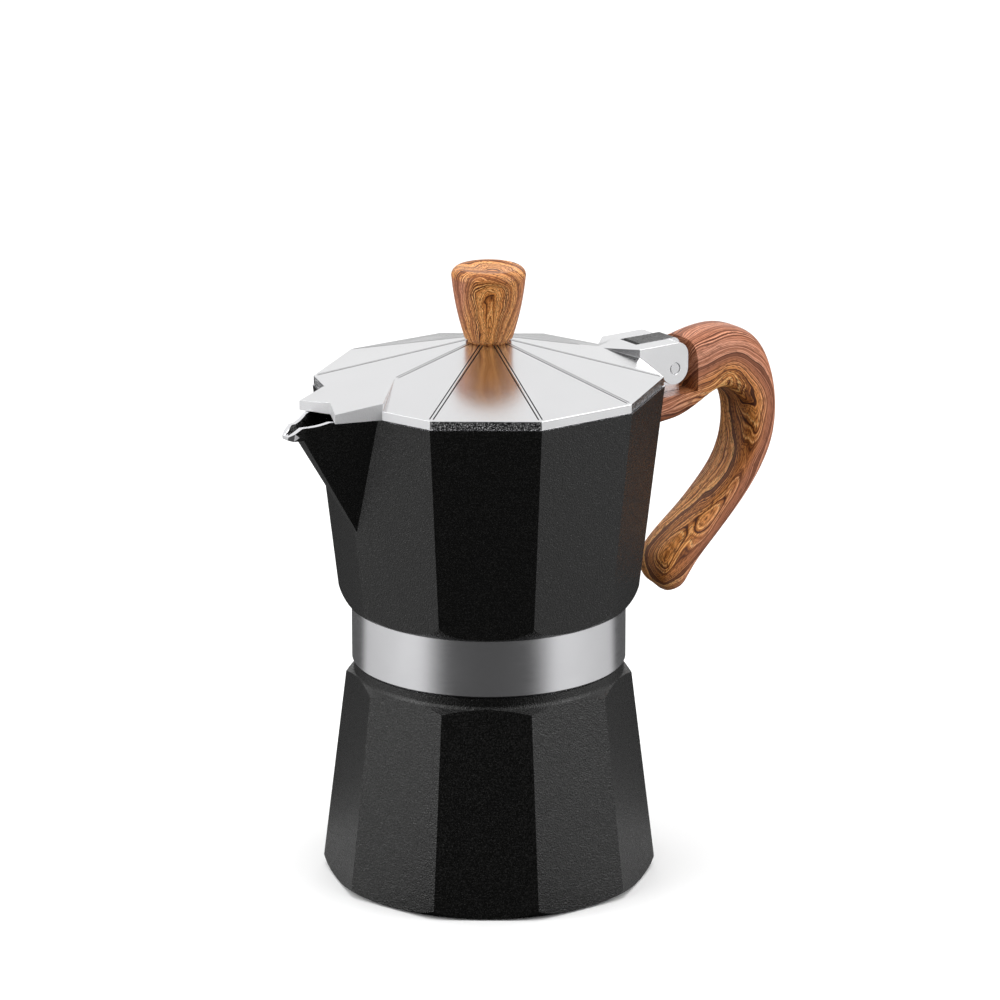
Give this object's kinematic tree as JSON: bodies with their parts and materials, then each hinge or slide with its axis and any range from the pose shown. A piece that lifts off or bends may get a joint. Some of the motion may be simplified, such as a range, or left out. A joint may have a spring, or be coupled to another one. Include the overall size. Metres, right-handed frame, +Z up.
{
  "type": "moka pot",
  "caption": "Stove-top moka pot: faceted black boiler and collector joined by a bare metal band, hinged faceted lid, wood-effect knob and handle.",
  "frame": {"origin": "centre of the flat base that stands on the stove", "axes": "+Z up, +X towards the handle, -X towards the spout; the safety valve faces +Y"},
  "size_m": [0.1476, 0.0901, 0.1581],
  "materials": {
    "black_paint": "cast, with a matte textured black coating that has fine metallic flecks",
    "polished_aluminium": "fine satin polish",
    "bare_aluminium": "machined",
    "wood_effect": "moulded, with a printed wood grain",
    "steel": "plain",
    "spring_steel": "drawn wire",
    "brass": "turned",
    "silicone": "matte",
    "seal_white": "plain"
  },
  "bodies": {
    "base": {"boiler": "black_paint", "valve_body": "brass", "valve_washer": "seal_white", "valve_cap": "brass", "valve_spring": "spring_steel"},
    "valve_stem": {"valve_piston": "brass", "valve_seal": "silicone"},
    "funnel_set": {"funnel": "bare_aluminium", "funnel_disc": "bare_aluminium"},
    "seal_set": {"gasket": "silicone", "upper_filter": "bare_aluminium"},
    "upper": {"collector": "black_paint", "column": "bare_aluminium", "handle": "wood_effect", "handle_screw": "steel", "handle_washer": "steel", "hinge_pin": "steel"},
    "lid_set": {"lid": "polished_aluminium", "knob": "wood_effect", "knob_insert": "brass", "knob_washer": "steel", "knob_screw": "steel"}
  },
  "joints": [
    {"name": "lift_off", "type": "slide", "parent": "base", "child": "seal_set", "axis": [0, 0, 1], "range_m": [0, 0.12]},
    {"name": "unscrew", "type": "hinge", "parent": "seal_set", "child": "upper", "pos_m": [0, 0, 0.064], "axis": [0, 0, 1], "range_deg": [0, 810]},
    {"name": "lid_open", "type": "hinge", "parent": "upper", "child": "lid_set", "pos_m": [0.0523, 0, 0.1254], "axis": [0, 1, 0], "range_deg": [0, 95]},
    {"name": "funnel_lift", "type": "slide", "parent": "base", "child": "funnel_set", "axis": [0, 0, 1], "range_m": [0, 0.0648]},
    {"name": "valve_lift", "type": "slide", "parent": "base", "child": "valve_stem", "axis": [0, 1, 0], "range_m": [0, 0.0012], "stiffness_N_per_m": 1500, "springref_m": -0.002, "deforming": ["valve_spring"]}
  ],
  "couplings": [
    {"joint": "funnel_lift", "follows": "lift_off", "ratio": 0.54}
  ]
}
